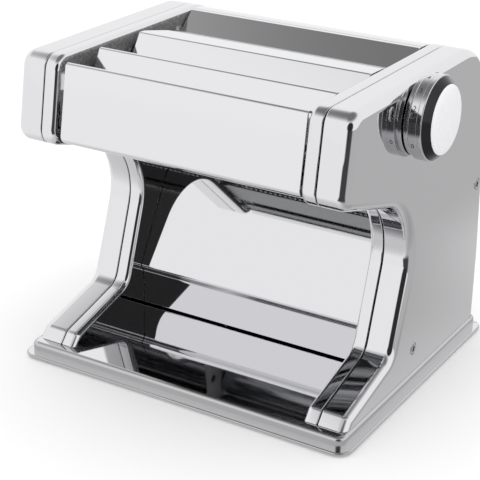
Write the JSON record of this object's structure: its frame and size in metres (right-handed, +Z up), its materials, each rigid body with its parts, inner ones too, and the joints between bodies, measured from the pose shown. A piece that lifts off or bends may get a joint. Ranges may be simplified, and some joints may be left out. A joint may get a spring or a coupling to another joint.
{
  "type": "pasta roller machine",
  "caption": "Bench-top motor-driven pasta machine with polished side covers, sheet rollers set by a side knob, and thin and wide cutters under three top slots",
  "frame": {"origin": "on the plane the feet stand on, midway between the base's sides and ends", "axes": "+X to the knob side along the rollers, +Y from the mouth to the rear, +Z up"},
  "size_m": [0.2444, 0.2017, 0.204],
  "materials": {
    "mirror_steel": "mirror polished stainless sheet",
    "polished_panel": "polished stainless sheet",
    "roller_steel": "ground steel",
    "frame_steel": "zinc plated steel",
    "bearing_bronze": "plain sintered bronze",
    "gear_steel": "hardened steel",
    "gear_plastic": "acetal",
    "foot_rubber": "matte",
    "motor_black": "satin black",
    "black_plastic": "satin",
    "switch_red": "gloss"
  },
  "bodies": {
    "housing": {"base_plate": "mirror_steel", "rubber_feet": "foot_rubber", "foot_screws": "frame_steel", "base_screws": "frame_steel", "left_inner_shell": "mirror_steel", "right_inner_shell": "mirror_steel", "left_outer_shell": "mirror_steel", "right_outer_shell": "mirror_steel", "cover_screws": "mirror_steel", "cover_standoffs": "frame_steel", "left_frame": "frame_steel", "right_frame": "frame_steel", "gear_bridge": "frame_steel", "left_bushings": "bearing_bronze", "right_bushings": "bearing_bronze", "tie_rods": "frame_steel", "tie_screws": "frame_steel", "idler_pins": "roller_steel", "front_cover": "polished_panel", "front_rail": "frame_steel", "front_hopper": "polished_panel", "front_blade": "polished_panel", "middle_blade": "polished_panel", "back_hopper": "polished_panel", "mouth_panel": "mirror_steel", "rear_cover": "polished_panel", "thin_guide": "polished_panel", "middle_guide": "polished_panel", "wide_guide": "polished_panel", "gearbox_case": "motor_black", "motor": "motor_black", "power_inlet": "black_plastic", "inlet_pins": "roller_steel", "switch_housing": "black_plastic"},
    "rear_roller": {"sheet_roller_rear": "roller_steel", "sheet_gear_rear": "gear_steel", "drive_gear": "gear_steel"},
    "adjuster": {"adjuster_shaft": "roller_steel"},
    "bushes": {"roller_bushes": "bearing_bronze"},
    "front_roller": {"sheet_roller_front": "roller_steel", "sheet_gear_front": "gear_steel"},
    "knob": {"thickness_knob": "mirror_steel", "dial_ring": "mirror_steel", "knob_cap": "mirror_steel"},
    "motor_wheel": {"motor_idler": "gear_plastic"},
    "pinion": {"motor_pinion": "gear_steel", "output_shaft": "roller_steel"},
    "wide_wheel": {"wide_idler": "gear_plastic"},
    "thin_wheel": {"thin_idler": "gear_plastic"},
    "thin_front": {"thin_cutter_front": "roller_steel", "thin_gear_front": "gear_steel"},
    "thin_rear": {"thin_cutter_rear": "roller_steel", "thin_gear_rear": "gear_steel"},
    "wide_front": {"wide_cutter_front": "roller_steel", "wide_gear_front": "gear_steel"},
    "wide_rear": {"wide_cutter_rear": "roller_steel", "wide_gear_rear": "gear_steel"},
    "rocker": {"switch_rocker": "switch_red"}
  },
  "joints": [
    {"name": "rear_roller_spin", "type": "hinge", "parent": "housing", "child": "rear_roller", "pos_m": [0, 0.015, 0.179], "axis": [1, 0, 0], "continuous": true},
    {"name": "thickness_turn", "type": "hinge", "parent": "housing", "child": "adjuster", "pos_m": [0, -0.0145, 0.179], "axis": [1, 0, 0], "range_deg": [0, 154.29]},
    {"name": "bushes_level", "type": "hinge", "parent": "adjuster", "child": "bushes", "pos_m": [0, -0.0133, 0.179], "axis": [1, 0, 0], "range_deg": [-154.29, 0]},
    {"name": "front_roller_spin", "type": "hinge", "parent": "bushes", "child": "front_roller", "pos_m": [0, -0.0133, 0.179], "axis": [1, 0, 0], "continuous": true},
    {"name": "knob_pull", "type": "slide", "parent": "adjuster", "child": "knob", "axis": [1, 0, 0], "range_m": [0, 0.004]},
    {"name": "motor_wheel_spin", "type": "hinge", "parent": "housing", "child": "motor_wheel", "pos_m": [0, 0.04894, 0.14506], "axis": [1, 0, 0], "continuous": true},
    {"name": "pinion_spin", "type": "hinge", "parent": "housing", "child": "pinion", "pos_m": [0, 0.05201, 0.10117], "axis": [1, 0, 0], "continuous": true},
    {"name": "wide_wheel_spin", "type": "hinge", "parent": "housing", "child": "wide_wheel", "pos_m": [0, -0.00678, 0.15556], "axis": [1, 0, 0], "continuous": true},
    {"name": "thin_wheel_spin", "type": "hinge", "parent": "housing", "child": "thin_wheel", "pos_m": [0, -0.0509, 0.17191], "axis": [1, 0, 0], "continuous": true},
    {"name": "wide_rear_spin", "type": "hinge", "parent": "housing", "child": "wide_rear", "pos_m": [0, -0.0324, 0.16], "axis": [1, 0, 0], "continuous": true},
    {"name": "wide_front_spin", "type": "hinge", "parent": "housing", "child": "wide_front", "pos_m": [0, -0.0496, 0.16], "axis": [1, 0, 0], "continuous": true},
    {"name": "thin_rear_spin", "type": "hinge", "parent": "housing", "child": "thin_rear", "pos_m": [0, -0.0694, 0.16], "axis": [1, 0, 0], "continuous": true},
    {"name": "thin_front_spin", "type": "hinge", "parent": "housing", "child": "thin_front", "pos_m": [0, -0.0866, 0.16], "axis": [1, 0, 0], "continuous": true},
    {"name": "switch_rock", "type": "hinge", "parent": "housing", "child": "rocker", "pos_m": [0.04, 0.0915, 0.039], "axis": [1, 0, 0], "range_deg": [0, 12]}
  ],
  "couplings": [
    {"joint": "front_roller_spin", "follows": "rear_roller_spin", "ratio": -1},
    {"joint": "motor_wheel_spin", "follows": "rear_roller_spin", "ratio": -0.5},
    {"joint": "pinion_spin", "follows": "rear_roller_spin", "ratio": 1.3333},
    {"joint": "wide_wheel_spin", "follows": "rear_roller_spin", "ratio": -1},
    {"joint": "wide_rear_spin", "follows": "rear_roller_spin", "ratio": 1.6},
    {"joint": "wide_front_spin", "follows": "rear_roller_spin", "ratio": -1.6},
    {"joint": "thin_wheel_spin", "follows": "rear_roller_spin", "ratio": -1.3333},
    {"joint": "thin_rear_spin", "follows": "rear_roller_spin", "ratio": 1.6},
    {"joint": "thin_front_spin", "follows": "rear_roller_spin", "ratio": -1.6},
    {"joint": "bushes_level", "follows": "thickness_turn", "ratio": -1}
  ]
}
